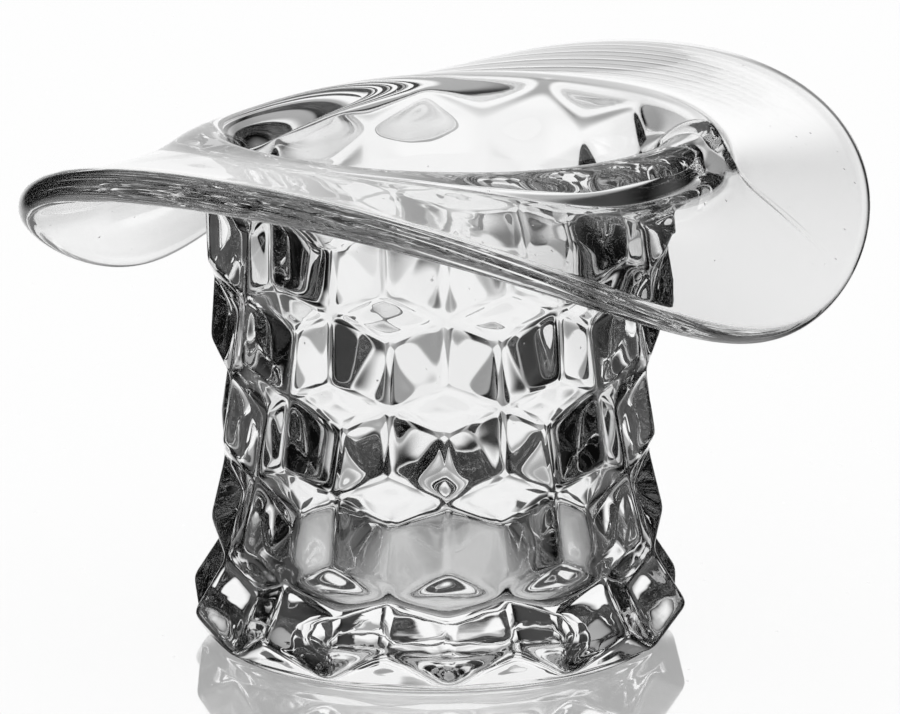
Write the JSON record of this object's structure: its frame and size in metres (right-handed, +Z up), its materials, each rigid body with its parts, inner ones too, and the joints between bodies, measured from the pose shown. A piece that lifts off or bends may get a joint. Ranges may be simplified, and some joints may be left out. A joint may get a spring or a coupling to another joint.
{
  "type": "glass hat",
  "caption": "Clear pressed-glass top hat that stands upside down on its crown, with tumbling-block relief on the wall, an open hollow and a brim rolled down at both sides.",
  "frame": {"origin": "centre of the flat base, on the crown's axis", "axes": "+Z up from the base to the open mouth, -Y towards the front of the hat, +X towards its right side, where the brim is rolled down"},
  "size_m": [0.1065, 0.1408, 0.0797],
  "materials": {
    "clear_glass": "clear pressed glass, fire polished, with softly rounded mould edges"
  },
  "bodies": {
    "root": {"crown": "clear_glass", "brim": "clear_glass"}
  },
  "joints": []
}
